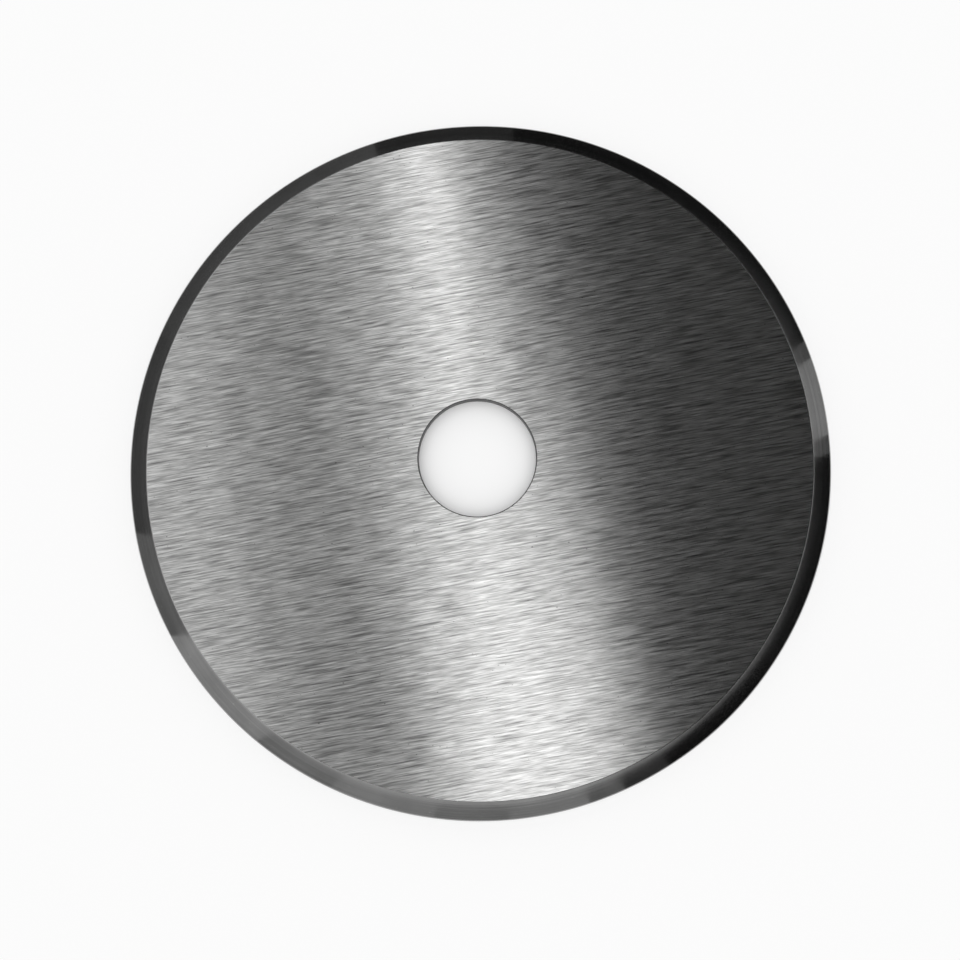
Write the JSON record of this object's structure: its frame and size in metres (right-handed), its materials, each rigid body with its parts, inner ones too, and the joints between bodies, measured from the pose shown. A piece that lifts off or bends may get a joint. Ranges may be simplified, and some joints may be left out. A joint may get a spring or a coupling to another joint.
{
  "type": "food slicer blade",
  "caption": "Flat circular slicing knife in brushed steel, with a plain central bore and a single ground bevel running round the rim to a honed cutting edge.",
  "frame": {"origin": "on the bore axis, at the flat back face", "axes": "+Z along the bore axis, towards the bevelled front face"},
  "size_m": [0.15, 0.15, 0.0025],
  "materials": {
    "blade_steel": "linear brushed faces, finely ground bevel"
  },
  "bodies": {
    "root": {"slicer_blade": "blade_steel"}
  },
  "joints": []
}
